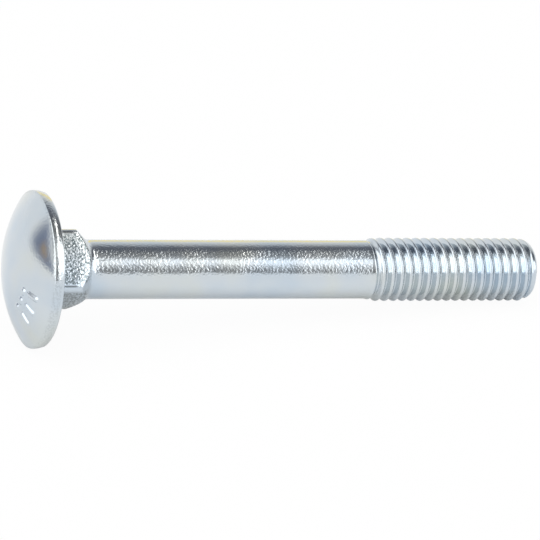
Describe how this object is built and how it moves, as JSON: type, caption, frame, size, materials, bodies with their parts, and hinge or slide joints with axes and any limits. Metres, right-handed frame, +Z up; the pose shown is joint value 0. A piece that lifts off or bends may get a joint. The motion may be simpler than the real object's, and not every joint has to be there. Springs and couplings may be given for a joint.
{
  "type": "carriage bolt",
  "caption": "Domed-head bolt with a square neck, a plain reduced shank and a rolled metric thread, lying on its side.",
  "frame": {"origin": "middle of the footprint of the lying bolt, on the surface it rests on", "axes": "+X along the bolt from its head to its tip, +Z up"},
  "size_m": [0.0854, 0.0238, 0.0239],
  "materials": {
    "zinc_plate": "bright zinc plate with a clear blue passivate on cold-forged steel"
  },
  "bodies": {
    "root": {"carriage_bolt": "zinc_plate"}
  },
  "joints": []
}
